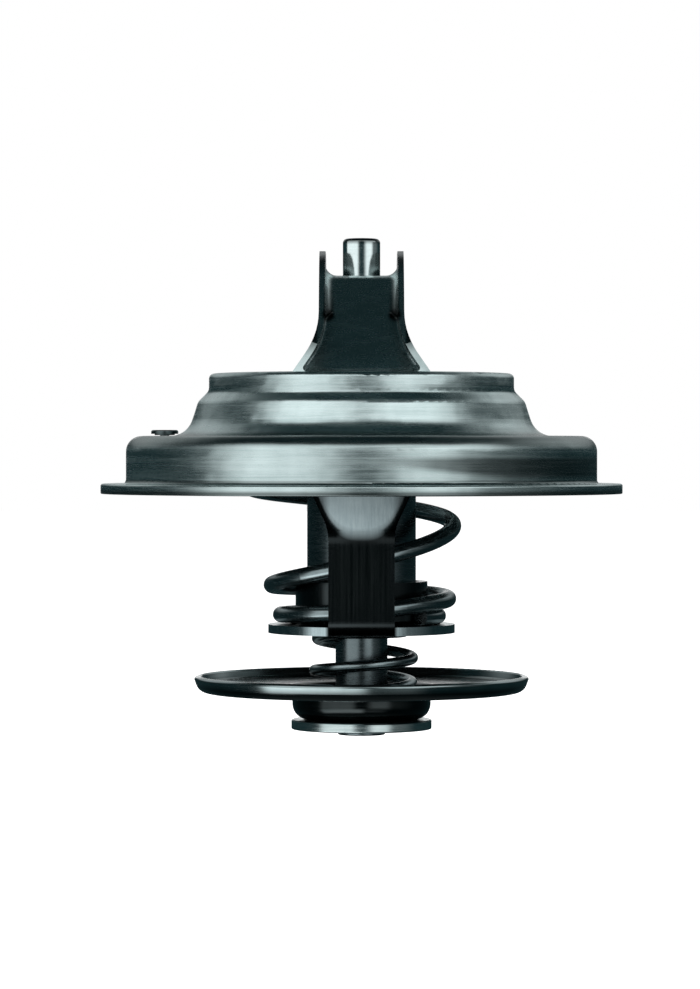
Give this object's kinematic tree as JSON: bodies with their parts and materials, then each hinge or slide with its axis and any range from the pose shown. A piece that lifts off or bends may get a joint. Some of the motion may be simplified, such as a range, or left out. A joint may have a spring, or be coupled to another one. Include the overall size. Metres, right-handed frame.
{
  "type": "engine thermostat",
  "caption": "Engine thermostat: flanged drawn housing with a channel bridge, wax capsule, conical main spring, lower frame and a dished bypass valve on a stem.",
  "frame": {"origin": "on the thermostat's axis, level with the underside of the mounting flange", "axes": "+Z along the axis from the flange towards the bridge and piston end, +Y along the bridge and the lower frame's legs, +X across them, with the vent pin on the -X side"},
  "size_m": [0.067, 0.067, 0.0637],
  "materials": {
    "housing_steel": "satin, drawn",
    "polished_steel": "polished",
    "pin_steel": "satin",
    "frame_steel": "satin, dark",
    "capsule_metal": "turned, dark plated",
    "guide_metal": "turned",
    "rubber": "matte",
    "wax": "waxy",
    "valve_steel": "satin",
    "spring_steel": "drawn wire, semi gloss",
    "bypass_steel": "satin, dark",
    "washer_steel": "satin"
  },
  "bodies": {
    "housing": {"flange_body": "housing_steel", "piston": "polished_steel", "lower_frame": "frame_steel", "main_spring": "spring_steel"},
    "vent_pin": {"jiggle_pin": "pin_steel"},
    "capsule": {"capsule_body": "capsule_metal", "capsule_guide": "guide_metal", "rubber_sleeve": "rubber", "wax_charge": "wax", "piston_wiper": "rubber", "main_valve_disc": "valve_steel", "valve_seal": "rubber", "bypass_spring": "spring_steel", "retaining_washer": "washer_steel"},
    "bypass_valve": {"bypass_disc": "bypass_steel"}
  },
  "joints": [
    {"name": "valve_lift", "type": "slide", "parent": "housing", "child": "capsule", "axis": [0, 0, -1], "range_m": [0, 0.008], "stiffness_N_per_m": 2000, "springref_m": -0.02, "deforming": ["main_spring"]},
    {"name": "bypass_slide", "type": "slide", "parent": "capsule", "child": "bypass_valve", "axis": [0, 0, 1], "range_m": [0, 0.004], "stiffness_N_per_m": 600, "springref_m": -0.008, "deforming": ["bypass_spring"]},
    {"name": "vent_lift", "type": "slide", "parent": "housing", "child": "vent_pin", "axis": [0, 0, 1], "range_m": [0, 0.001]}
  ]
}
